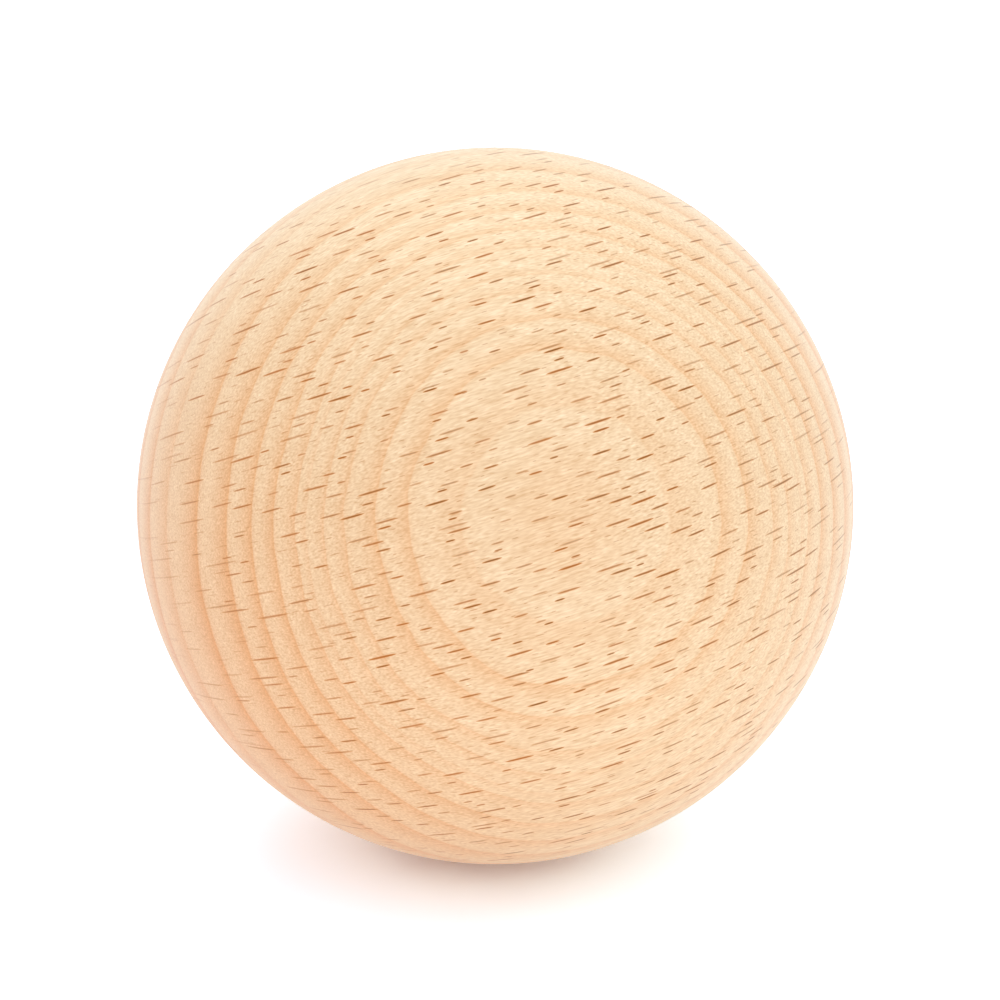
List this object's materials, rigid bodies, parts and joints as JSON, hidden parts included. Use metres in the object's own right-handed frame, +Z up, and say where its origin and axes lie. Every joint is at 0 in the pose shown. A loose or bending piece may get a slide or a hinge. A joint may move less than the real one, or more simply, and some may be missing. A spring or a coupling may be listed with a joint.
{
  "type": "wooden ball",
  "caption": "Solid turned beech ball with a smooth sanded surface, for rolling under the hand or foot, massage or play.",
  "frame": {"origin": "the ball's centre", "axes": "+Z up, +Y away from the viewer, +X to the viewer's right. The picture's grain eye, where the growth rings lie flat to the surface, faces -Y."},
  "size_m": [0.07, 0.07, 0.07],
  "materials": {
    "beech": "satin"
  },
  "bodies": {
    "root": {"ball": "beech"}
  },
  "joints": []
}
